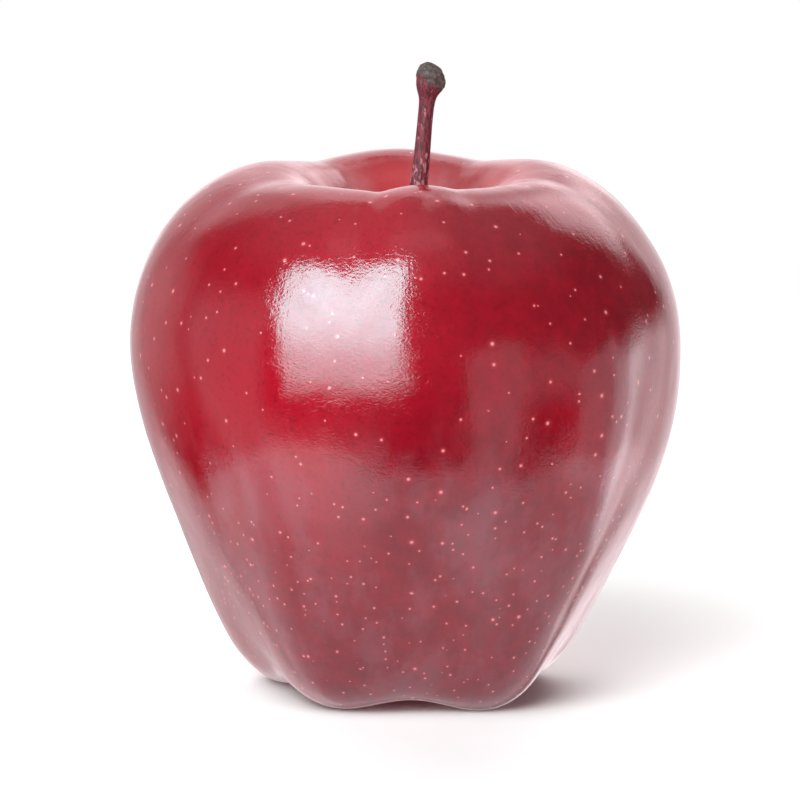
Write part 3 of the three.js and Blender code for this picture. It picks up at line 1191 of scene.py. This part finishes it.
@dataclass(frozen=True)
class Floor:
    """The pale floor, which fades into the backdrop round the fruit, and the dome behind it."""

    radius: float = 3000.0
    segments: int = 96
    colour: Colour = (0.90, 0.90, 0.90)
    roughness: float = 0.9
    specular: float = 0.2
    fade: Slope = Slope(0.10, 0.42, 1.0, 0.0)
    dome_radius: float = 3500.0
    dome_subdivisions: int = 4

    def surface(self, name: str, body: bmesh.types.BMesh, material: Material) -> Object:
        """Makes a piece of the studio from a mesh in millimetres."""
        piece = finished(name, body, material)
        return piece

    def floor(self) -> None:
        """Makes the floor, which the skin mirrors as part of the surroundings instead."""
        body = bmesh.new()
        bmesh.ops.create_circle(body, cap_ends=True, segments=self.segments, radius=self.radius)
        material = bpy.data.materials.new("pale_floor")
        material.use_nodes = True
        surface = material.node_tree.nodes["Principled BSDF"]
        surface.inputs["Base Color"].default_value = (*self.colour, 1.0)
        surface.inputs["Roughness"].default_value = self.roughness
        surface.inputs["Specular IOR Level"].default_value = self.specular
        graph = Graph(material.node_tree)
        away = graph.measure("LENGTH", graph.add("TexCoord").outputs["Object"])
        graph.feed(surface.inputs["Alpha"], graph.slope(away, self.fade))
        self.surface("floor", body, material).visible_glossy = False

    def backdrop(self) -> None:
        """Makes the pale dome that only the camera sees."""
        body = bmesh.new()
        bmesh.ops.create_icosphere(body, subdivisions=self.dome_subdivisions, radius=self.dome_radius)
        material = bpy.data.materials.new("pale_backdrop")
        material.use_nodes = True
        material.node_tree.nodes.clear()
        graph = Graph(material.node_tree)
        shine = graph.add("Emission", {"Color": (1.0, 1.0, 1.0), "Strength": 1.0})
        graph.add("OutputMaterial", {"Surface": shine.outputs[0]})
        dome = self.surface("backdrop", body, material)
        dome.visible_diffuse = dome.visible_glossy = dome.visible_shadow = False

    def build(self) -> None:
        """Makes the floor and the dome."""
        self.floor()
        self.backdrop()


@dataclass(frozen=True)
class Surroundings:
    """What the skin mirrors: the key light, screens, a white table and a dim room with a paler ceiling.

    Directions are seen from the fruit, in degrees. Back is how far one points behind it, from -1 to 1.
    """

    key_tint: Colour = (0.53, 0.98, 1.05)
    key: tuple[Panel, ...] = (
        Panel(-25, 25.5, 13.5, 62, 9.4, 0.05, 0.09, 0.0, 0.25, 0.085, -0.195),
        Panel(-36, 7, 34, 50, 3.0, 0.14, 0.3),
        Panel(-25, 25.5, -7.5, 62, 8.0, 0.05, 0.09, 0.0, 0.10, 0.085, -0.195),
    )
    cloth: Grain = Grain(17.0, 2.0, 0.55)
    cloth_light: Slope = Slope(0.36, 0.64, 0.78, 1.10)
    screens: tuple[Panel, ...] = (
        Panel(36, 12.5, -37, 12.5, 0.9, 0.07, 0.06, 0.3),
        Panel(34, 16, -37, -9, 0.22, 0.08, 0.12, 0.35),
        Panel(58, 11, -8, 8, 0.6, 0.07, 0.1),
        Panel(84.5, 16, -31, 7, 1.12, 0.08, 0.07, 0.3),
        Panel(112, 13, -31, 2, 2.4, 0.12, 0.15, -0.05),
        Panel(131, 15, -31, 0, 1.5, 0.12, 0.08, -0.1),
        Panel(150, 16, 19, 45, 2.25, 0.12, 0.15, -0.1),
        Panel(161, 13, -24, 20, 0.98, 0.1, 0.15, -0.3),
        Panel(168, 9, 44, 68, 0.8, 0.1, 0.25),
        Panel(180, 11, -3, 48, 1.15, 0.12, 0.12, -0.4),
        Panel(180, 12, -36, -6, 0.36, 0.12, 0.08),
        Panel(-158, 13, -58, 49, 0.66, 0.12, 0.12),
        Panel(-127, 17, -17, 18, 0.66, 0.12, 0.25, 0.1, 0.16),
        Panel(-84, 22, -36, 26, 0.72, 0.12, 0.3, 0.3),
    )
    table_glow: tuple[Panel, ...] = (
        Panel(-35, 27, -53, -29, 1.3, 0.2, 0.25, -0.3, 0.4),
        Panel(-110, 32, -64, -38, 0.14, 0.3, 0.1, -0.2, 0.1),
        Panel(34, 20, -60, -43, 0.9, 0.35, 0.4, 0.6, 0.4),
    )
    panel_limit: float = 0.02
    room_tint: Colour = (0.80, 0.98, 1.05)
    back_tint: Colour = (1.13, 0.98, 1.02)
    back_tinted: Slope = Slope(0.1, 0.8)
    table: float = 1.4
    table_edge: float = -27.5
    table_softness: float = 1.7
    table_back: Slope = Slope(0.45, 0.85, 1.0, 0.24)
    front_edge: float = -10.5
    front: tuple[Slope, Slope] = (Slope(-36.0, -8.0), Slope(64.0, 50.0))
    rear_edge: float = 9.5
    rear: tuple[Slope, Slope] = (Slope(92.0, 130.0), Slope(-130.0, -152.0))
    room: tuple[Slope, ...] = (
        Slope(-10.0, 15.0, 0.0, 0.11), Slope(35.0, 62.0, 0.0, 0.36), Slope(66.0, 80.0, 0.0, 0.2),
    )
    ceiling: Slope = Slope(66.0, 74.0, 0.0, 0.34)
    ceiling_front: Slope = Slope(0.1, -0.1)

    def panel_group(self) -> NodeTree:
        """An upright panel with soft edges in a field of directions.

        Returns:
            The group: Light is the panel's radiance inside it and 0 elsewhere.
        """
        graph, given, made = new_group(
            "Panel",
            {"Direction": "Vector", "Toward": "Vector", "Right": "Vector", "Width": "Float", "Low": "Float",
             "High": "Float", "Side": "Float", "End": "Float", "Foot": "Float", "Slant": "Float",
             "Flare": "Float", "Lean": "Float", "Radiance": "Float"},
            {"Light": "Float"},
        )
        own = given.outputs
        ahead = graph.measure("DOT_PRODUCT", own["Direction"], own["Toward"])
        across = graph.maths("DIVIDE", graph.measure("DOT_PRODUCT", own["Direction"], own["Right"]), ahead)
        height = graph.add("SeparateXYZ", {"Vector": own["Direction"]}).outputs["Z"]
        slanted = graph.maths("MULTIPLY", own["Slant"], across)
        up = graph.maths("SUBTRACT", graph.maths("DIVIDE", height, ahead), slanted)
        leaning = graph.maths("MULTIPLY", own["Lean"], up)
        off_middle = graph.maths("ABSOLUTE", graph.maths("SUBTRACT", across, leaning))
        beside = graph.maths("SUBTRACT", off_middle, graph.maths("MULTIPLY", own["Flare"], up))
        facing = graph.maths("GREATER_THAN", ahead, self.panel_limit)
        light = graph.maths("MULTIPLY", facing, own["Radiance"])
        for value, limit, soft, outer, inner in (
            (beside, "Width", "Side", "ADD", "SUBTRACT"),
            (up, "High", "End", "ADD", "SUBTRACT"),
            (up, "Low", "Foot", "SUBTRACT", "ADD"),
        ):
            ends = [graph.maths(way, own[limit], own[soft]) for way in (outer, inner)]
            light = graph.maths("MULTIPLY", light, graph.ramp(value, *ends))
        graph.feed(made.inputs["Light"], light)
        return graph.tree

    def lit(self, graph: Graph, group: NodeTree, direction: NodeSocket, panels: tuple[Panel, ...],
            light: Value) -> Value:
        """Adds panels to a light.

        Args:
            graph: the world's nodes.
            group: the panel group.
            direction: the direction that is looked at.
            panels: what to add.
            light: what to add to.

        Returns:
            The light with its panels.
        """
        for panel in panels:
            angles = (panel.half_width, panel.low, panel.high)
            width, low, high = (math.tan(math.radians(angle)) for angle in angles)
            placed = graph.group(
                group, Direction=direction, Toward=tuple(toward(panel.azimuth, 0)),
                Right=tuple(toward(panel.azimuth + QUARTER_TURN, 0)), Width=width, Low=low, High=high,
                Side=panel.side, End=panel.end, Foot=panel.foot, Slant=panel.slant, Flare=panel.flare,
                Lean=panel.lean, Radiance=panel.radiance,
            )
            light = graph.maths("ADD", light, placed.outputs["Light"])
        return light

    def table_light(self, graph: Graph, azimuth: NodeSocket, elevation: NodeSocket,
                    back: NodeSocket) -> NodeSocket:
        """The share of the white table in a direction: its edge drops in front and rises at the rear.

        Args:
            graph: the world's nodes.
            azimuth: the direction's azimuth.
            elevation: its elevation.
            back: how far it points behind the fruit.

        Returns:
            A value from 0 to 1.
        """
        front = graph.maths("MULTIPLY", *(graph.slope(azimuth, side) for side in self.front))
        edge = graph.maths("MULTIPLY_ADD", front, self.front_edge, self.table_edge)
        rear = graph.maths("MAXIMUM", *(graph.slope(azimuth, side) for side in self.rear))
        edge = graph.maths("MULTIPLY_ADD", rear, self.rear_edge, edge)
        ends = [graph.maths(way, edge, self.table_softness) for way in ("ADD", "SUBTRACT")]
        return graph.maths("MULTIPLY", graph.ramp(elevation, *ends), graph.slope(back, self.table_back))

    def build(self) -> None:
        """Makes the world."""
        world = bpy.data.worlds.new("studio")
        bpy.context.scene.world = world
        world.use_nodes = True
        world.node_tree.nodes.clear()
        graph = Graph(world.node_tree)
        direction = graph.add("TexCoord").outputs["Generated"]
        axes = graph.add("SeparateXYZ", {"Vector": direction})
        back = axes.outputs["Y"]
        elevation = graph.maths("MULTIPLY", graph.maths("ARCSINE", axes.outputs["Z"]), DEGREES)
        turn = graph.maths("ARCTAN2", axes.outputs["X"], graph.maths("MULTIPLY", back, -1.0))
        table = self.table_light(graph, graph.maths("MULTIPLY", turn, DEGREES), elevation, back)
        light = graph.maths("MULTIPLY_ADD", table, self.table, graph.slope(elevation, self.room[0]))
        for slope in self.room[1:]:
            light = graph.maths("ADD", light, graph.slope(elevation, slope))
        ceiling = graph.slope(elevation, self.ceiling)
        ceiling = graph.maths("MULTIPLY", ceiling, graph.slope(back, self.ceiling_front))
        light = graph.maths("ADD", light, ceiling)
        group = self.panel_group()
        light = self.lit(graph, group, direction, self.screens + self.table_glow, light)
        key = self.lit(graph, group, direction, self.key, 0.0)
        cloth = graph.slope(graph.grain(direction, self.cloth), self.cloth_light)
        key = graph.maths("MULTIPLY", key, cloth)
        tint = graph.mixed(graph.slope(back, self.back_tinted), self.room_tint, self.back_tint)
        colour = graph.vector("ADD", graph.scaled(tint, light), graph.scaled(self.key_tint, key))
        background = graph.add("Background", {"Color": colour, "Strength": 1.0})
        graph.add("OutputWorld", {"Surface": background.outputs[0]})
        world.cycles_visibility.diffuse = False


@dataclass(frozen=True)
class Studio:
    """The lights and the camera, round the floor and the surroundings."""

    aim: Vector = Vector((-0.99, -0.12, 42.3))
    distance: float = 700.0
    elevation: float = 9.5
    pixels_per_mm: float = 6.9
    picture: int = 800
    sensor: float = 36.0
    clip: tuple[float, float] = (0.01, 20.0)
    lamps: tuple[Lamp, ...] = (
        Lamp("key_lamp", -33, 27, 4.8), Lamp("side_lamp", -75, 20, 0.6), Lamp("right_lamp", 60, 0, 3.1),
        Lamp("front_lamp", -16, 48, 5.0), Lamp("back_lamp", 166, 25, 7.0), Lamp("far_lamp", -148, 25, 3.6),
    )
    lamp_size: float = 0.5
    lamp_distance: float = 0.8
    lamp_aim: Vector = Vector((0.0, 0.0, 0.045))

    def camera(self) -> None:
        """Makes the camera, at the photograph's viewing angle."""
        data = bpy.data.cameras.new("camera")
        data.sensor_width = self.sensor
        data.lens = self.sensor * self.distance * self.pixels_per_mm / self.picture
        data.clip_start, data.clip_end = self.clip
        camera = bpy.data.objects.new("camera", data)
        back = toward(0.0, self.elevation)
        camera.location = (self.aim + self.distance * back) * MM
        camera.rotation_euler = (-back).to_track_quat("-Z", "Y").to_euler()
        bpy.context.scene.collection.objects.link(camera)
        bpy.context.scene.camera = camera

    def light(self, lamp: Lamp) -> None:
        """Makes an area light, which nothing mirrors."""
        data = bpy.data.lights.new(lamp.name, "AREA")
        data.shape = "SQUARE"
        data.size = self.lamp_size
        data.energy = lamp.power
        light = bpy.data.objects.new(lamp.name, data)
        back = toward(lamp.azimuth, lamp.elevation)
        light.location = self.lamp_aim + back * self.lamp_distance
        light.rotation_euler = (-back).to_track_quat("-Z", "Y").to_euler()
        bpy.context.scene.collection.objects.link(light)
        light.visible_camera = light.visible_glossy = False

    def build(self) -> None:
        """Makes the whole studio."""
        self.camera()
        Floor().build()
        for lamp in self.lamps:
            self.light(lamp)
        Surroundings().build()
        scene = bpy.context.scene
        scene.view_settings.view_transform = "Standard"
        scene.view_settings.look = "None"


def main() -> None:
    """Builds the apple and its studio, and reports each piece."""
    logging.basicConfig(level=logging.INFO, format="%(name)s: %(message)s")
    patterns = Patterns(spots_group(), streaks_group(), mottle_group())
    stem = Stem()
    _, shift = Fruit().build(SkinFinish().material(patterns))
    scar = (Vector(stem.knob) + shift, Vector(stem.knob_facing).normalized())
    stem.build(StemFinish().material(patterns, scar), shift)
    Calyx().build(CalyxFinish().material(patterns), shift)
    Studio().build()


if __name__ == "__main__":
    main()
